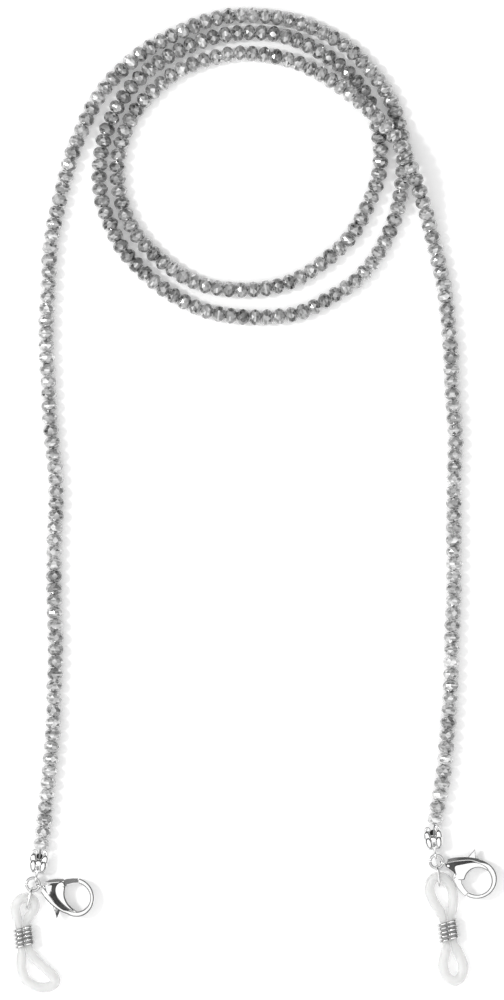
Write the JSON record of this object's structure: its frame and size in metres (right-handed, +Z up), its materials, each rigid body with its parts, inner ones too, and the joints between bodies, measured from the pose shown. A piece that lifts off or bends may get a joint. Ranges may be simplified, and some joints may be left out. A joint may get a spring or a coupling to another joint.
{
  "type": "eyeglass retainer strap",
  "caption": "Beaded eyeglass strap: a long strand of faceted glass beads with a lobster clasp and a silicone temple loop on a jump ring at each end.",
  "frame": {"origin": "middle of the laid-down strap's footprint, on the surface it lies on", "axes": "+X towards the right end, +Y from the two clasp ends towards the far turns, +Z up from the surface"},
  "size_m": [0.0972, 0.1971, 0.0066],
  "materials": {
    "bead_crystal": "faceted smoky silver crystal, half mirrored",
    "stringing_wire": "nylon-coated beading wire",
    "silver_plate": "bright silver plate",
    "coil_wire": "bright plated spring wire",
    "spring_steel": "plain spring steel",
    "silicone": "milky half-clear silicone"
  },
  "bodies": {
    "strand": {"stringing_wire": "stringing_wire", "bead_run_01": "bead_crystal", "bead_run_02": "bead_crystal", "bead_run_03": "bead_crystal", "bead_run_04": "bead_crystal", "bead_run_05": "bead_crystal", "bead_run_06": "bead_crystal", "bead_run_07": "bead_crystal", "bead_run_08": "bead_crystal", "bead_run_09": "bead_crystal", "bead_run_10": "bead_crystal", "bead_run_11": "bead_crystal", "bead_run_12": "bead_crystal", "crimp_left": "silver_plate", "crimp_right": "silver_plate"},
    "tip_left": {"bead_tip_left": "silver_plate"},
    "ring_left": {"jump_ring_left": "silver_plate"},
    "clasp_left": {"clasp_body_left": "silver_plate", "clasp_pin_left": "silver_plate", "clasp_spring_left": "spring_steel"},
    "lever_left": {"clasp_lever_left": "silver_plate"},
    "link_left": {"link_ring_left": "silver_plate"},
    "loop_left": {"silicone_loop_left": "silicone"},
    "coil_left": {"coil_slider_left": "coil_wire"},
    "tip_right": {"bead_tip_right": "silver_plate"},
    "ring_right": {"jump_ring_right": "silver_plate"},
    "clasp_right": {"clasp_body_right": "silver_plate", "clasp_pin_right": "silver_plate", "clasp_spring_right": "spring_steel"},
    "lever_right": {"clasp_lever_right": "silver_plate"},
    "link_right": {"link_ring_right": "silver_plate"},
    "loop_right": {"silicone_loop_right": "silicone"},
    "coil_right": {"coil_slider_right": "coil_wire"}
  },
  "joints": [
    {"name": "tip_swivel_left", "type": "hinge", "parent": "strand", "child": "tip_left", "pos_m": [-0.0431, -0.0726, 0.0018], "axis": [0.1564, 0.9877, 0], "continuous": true},
    {"name": "ring_swing_left", "type": "hinge", "parent": "tip_left", "child": "ring_left", "pos_m": [-0.04359, -0.07571, 0.0018], "axis": [-0.8829, 0.4695, 0], "range_deg": [-60, 60]},
    {"name": "clasp_swing_left", "type": "hinge", "parent": "ring_left", "child": "clasp_left", "pos_m": [-0.04294, -0.07715, 0.0018], "axis": [0.225, 0.9744, 0], "range_deg": [-65, 65]},
    {"name": "clasp_lever_left", "type": "hinge", "parent": "clasp_left", "child": "lever_left", "pos_m": [-0.03892, -0.07741, 0.0018], "axis": [0, 0, 1], "range_deg": [-22, 0], "stiffness_Nm_per_rad": 0.003},
    {"name": "link_swing_left", "type": "hinge", "parent": "ring_left", "child": "link_left", "pos_m": [-0.04454, -0.07812, 0.0018], "axis": [-0.9659, 0.2588, 0], "range_deg": [-60, 60]},
    {"name": "loop_swing_left", "type": "hinge", "parent": "link_left", "child": "loop_left", "pos_m": [-0.04494, -0.07963, 0.0016], "axis": [0.9637, -0.267, 0], "range_deg": [-60, 60]},
    {"name": "coil_slide_left", "type": "slide", "parent": "loop_left", "child": "coil_left", "axis": [-0.1132, 0.9936, 0], "range_m": [-0.002, 0.0012], "deforming": ["silicone_loop_left"]},
    {"name": "tip_swivel_right", "type": "hinge", "parent": "strand", "child": "tip_right", "pos_m": [0.0359, -0.0679, 0.0018], "axis": [-0.1219, 0.9925, 0], "continuous": true},
    {"name": "ring_swing_right", "type": "hinge", "parent": "tip_right", "child": "ring_right", "pos_m": [0.03628, -0.07103, 0.0018], "axis": [-0.9848, -0.1736, 0], "range_deg": [-60, 60]},
    {"name": "clasp_swing_right", "type": "hinge", "parent": "ring_right", "child": "clasp_right", "pos_m": [0.03778, -0.07258, 0.0018], "axis": [0.2079, 0.9781, 0], "range_deg": [-65, 65]},
    {"name": "clasp_lever_right", "type": "hinge", "parent": "clasp_right", "child": "lever_right", "pos_m": [0.0408, -0.07524, 0.0018], "axis": [0, 0, 1], "range_deg": [0, 22], "stiffness_Nm_per_rad": 0.003},
    {"name": "link_swing_right", "type": "hinge", "parent": "ring_right", "child": "link_right", "pos_m": [0.03667, -0.0736, 0.0018], "axis": [-0.9925, -0.1219, 0], "range_deg": [-60, 60]},
    {"name": "loop_swing_right", "type": "hinge", "parent": "link_right", "child": "loop_right", "pos_m": [0.03688, -0.07532, 0.0016], "axis": [0.9982, 0.0598, 0], "range_deg": [-60, 60]},
    {"name": "coil_slide_right", "type": "slide", "parent": "loop_right", "child": "coil_right", "axis": [-0.1305, 0.9914, 0], "range_m": [-0.002, 0.0012], "deforming": ["silicone_loop_right"]}
  ]
}
